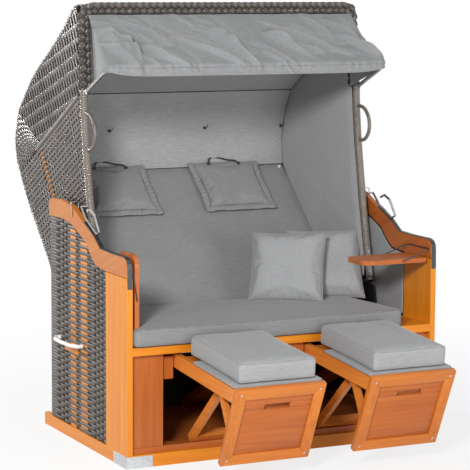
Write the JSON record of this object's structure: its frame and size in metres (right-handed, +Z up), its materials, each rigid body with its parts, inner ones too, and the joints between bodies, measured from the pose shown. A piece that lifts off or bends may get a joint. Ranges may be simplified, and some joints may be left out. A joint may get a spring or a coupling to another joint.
{
  "type": "hooded beach chair",
  "caption": "Wide wicker beach chair with a tilting hood, awning, folding side tables, cushions and footrests that slide out of its base.",
  "frame": {"origin": "on the ground in the middle of the base, under the middle bearer", "axes": "+Z up, -Y to the front, +X to the right as seen from the front"},
  "size_m": [1.3422, 1.689, 1.6075],
  "materials": {
    "bright_wood": "satin varnish, orange",
    "red_wood": "satin varnish, reddish",
    "footrest_wood": "satin varnish, orange",
    "wicker": "woven flat strands with a sheen",
    "grey_fabric": "woven, matt",
    "pale_fabric": "woven, matt",
    "zinc": "zinc plated",
    "dark_metal": "dark satin",
    "strap": "black webbing",
    "white_plastic": "white"
  },
  "bodies": {
    "base": {"sill_left": "bright_wood", "sill_right": "bright_wood", "plinth_front": "bright_wood", "front_board_left": "bright_wood", "front_board_right": "bright_wood", "arm_board_left": "bright_wood", "arm_board_right": "bright_wood", "seat_frame": "bright_wood", "floor_board": "red_wood", "fixed_panel_left": "red_wood", "fixed_panel_right": "red_wood", "centre_divider": "red_wood", "rear_panel": "wicker", "side_panel_left": "wicker", "side_panel_right": "wicker", "side_lining_left": "grey_fabric", "side_lining_right": "grey_fabric", "seat_cushion": "grey_fabric", "throw_pillow_front": "pale_fabric", "throw_pillow_back": "pale_fabric", "corner_plate_left": "zinc", "corner_plate_right": "zinc", "pivot_bolt_left": "zinc", "pivot_bolt_right": "zinc", "arm_rack_left": "dark_metal", "arm_rack_right": "dark_metal", "carry_handle_left": "white_plastic", "carry_handle_right": "white_plastic"},
    "hood": {"hood_side_left": "wicker", "hood_side_right": "wicker", "hood_back": "wicker", "hood_post_left": "wicker", "hood_post_right": "wicker", "front_braid": "wicker", "hood_lining": "grey_fabric", "backrest": "grey_fabric", "strap_handle_left": "strap", "strap_handle_right": "strap", "neck_cushion_left": "pale_fabric", "neck_cushion_right": "pale_fabric"},
    "awning": {"awning_bow": "dark_metal", "awning_cloth": "pale_fabric"},
    "lever_left": {"lock_lever_left": "zinc"},
    "table_bow_left": {"table_bow_left": "dark_metal"},
    "table_leaf_left": {"table_leaf_left": "red_wood"},
    "axle_left": {"footrest_axle_left": "zinc"},
    "footrest_left": {"footrest_frame_left": "footrest_wood", "footrest_panel_left": "red_wood", "footrest_pad_left": "pale_fabric", "footrest_cushion_left": "grey_fabric"},
    "strut_left": {"footrest_strut_left": "footrest_wood"},
    "lever_right": {"lock_lever_right": "zinc"},
    "table_bow_right": {"table_bow_right": "dark_metal"},
    "table_leaf_right": {"table_leaf_right": "red_wood"},
    "axle_right": {"footrest_axle_right": "zinc"},
    "footrest_right": {"footrest_frame_right": "footrest_wood", "footrest_panel_right": "red_wood", "footrest_pad_right": "pale_fabric", "footrest_cushion_right": "grey_fabric"},
    "strut_right": {"footrest_strut_right": "footrest_wood"}
  },
  "joints": [
    {"name": "hood_tilt", "type": "hinge", "parent": "base", "child": "hood", "pos_m": [0, 0.2475, 0.35], "axis": [1, 0, 0], "range_deg": [0, 22]},
    {"name": "awning_fold", "type": "hinge", "parent": "hood", "child": "awning", "pos_m": [0, 0.1191, 1.29204], "axis": [1, 0, 0], "range_deg": [-60, 0], "deforming": ["awning_cloth"]},
    {"name": "lock_lever_left", "type": "hinge", "parent": "hood", "child": "lever_left", "pos_m": [-0.6, 0.0775, 0.87308], "axis": [1, 0, 0], "range_deg": [-52.8, 0]},
    {"name": "table_bow_left", "type": "hinge", "parent": "base", "child": "table_bow_left", "pos_m": [-0.6002, -0.284, 0.708], "axis": [0, 1, 0], "range_deg": [-61, 0]},
    {"name": "table_leaf_left", "type": "hinge", "parent": "table_bow_left", "child": "table_leaf_left", "pos_m": [-0.58143, -0.284, 0.58948], "axis": [0, 1, 0], "range_deg": [0, 151]},
    {"name": "footrest_slide_left", "type": "slide", "parent": "base", "child": "axle_left", "axis": [0, 0.8811, -0.4728], "range_m": [0, 0.4746], "deforming": ["footrest_cushion_left"]},
    {"name": "footrest_tilt_left", "type": "hinge", "parent": "axle_left", "child": "footrest_left", "pos_m": [-0.258, -0.20218, 0.36913], "axis": [1, 0, 0], "range_deg": [-24.5, 0]},
    {"name": "footrest_strut_left", "type": "hinge", "parent": "footrest_left", "child": "strut_left", "pos_m": [-0.258, -0.61039, 0.33055], "axis": [1, 0, 0], "range_deg": [0, 46.6]},
    {"name": "lock_lever_right", "type": "hinge", "parent": "hood", "child": "lever_right", "pos_m": [0.6, 0.0775, 0.87308], "axis": [1, 0, 0], "range_deg": [-52.8, 0]},
    {"name": "table_bow_right", "type": "hinge", "parent": "base", "child": "table_bow_right", "pos_m": [0.6002, -0.284, 0.708], "axis": [0, 1, 0], "range_deg": [-61, 0]},
    {"name": "table_leaf_right", "type": "hinge", "parent": "table_bow_right", "child": "table_leaf_right", "pos_m": [0.48744, -0.284, 0.66696], "axis": [0, 1, 0], "range_deg": [0, 151]},
    {"name": "footrest_slide_right", "type": "slide", "parent": "base", "child": "axle_right", "axis": [0, 0.8811, -0.4728], "range_m": [0, 0.4746], "deforming": ["footrest_cushion_right"]},
    {"name": "footrest_tilt_right", "type": "hinge", "parent": "axle_right", "child": "footrest_right", "pos_m": [0.258, -0.20218, 0.36913], "axis": [1, 0, 0], "range_deg": [-24.5, 0]},
    {"name": "footrest_strut_right", "type": "hinge", "parent": "footrest_right", "child": "strut_right", "pos_m": [0.258, -0.61039, 0.33055], "axis": [1, 0, 0], "range_deg": [0, 46.6]}
  ],
  "couplings": [
    {"joint": "lock_lever_left", "follows": "hood_tilt", "ratio": -2.4},
    {"joint": "table_leaf_left", "follows": "table_bow_left", "ratio": -2.4754},
    {"joint": "footrest_tilt_left", "follows": "footrest_slide_left", "rad_per_m": -0.9008},
    {"joint": "footrest_strut_left", "follows": "footrest_slide_left", "rad_per_m": 1.7134},
    {"joint": "lock_lever_right", "follows": "hood_tilt", "ratio": -2.4},
    {"joint": "table_leaf_right", "follows": "table_bow_right", "ratio": -2.4754},
    {"joint": "footrest_tilt_right", "follows": "footrest_slide_right", "rad_per_m": -0.9008},
    {"joint": "footrest_strut_right", "follows": "footrest_slide_right", "rad_per_m": 1.7134}
  ]
}
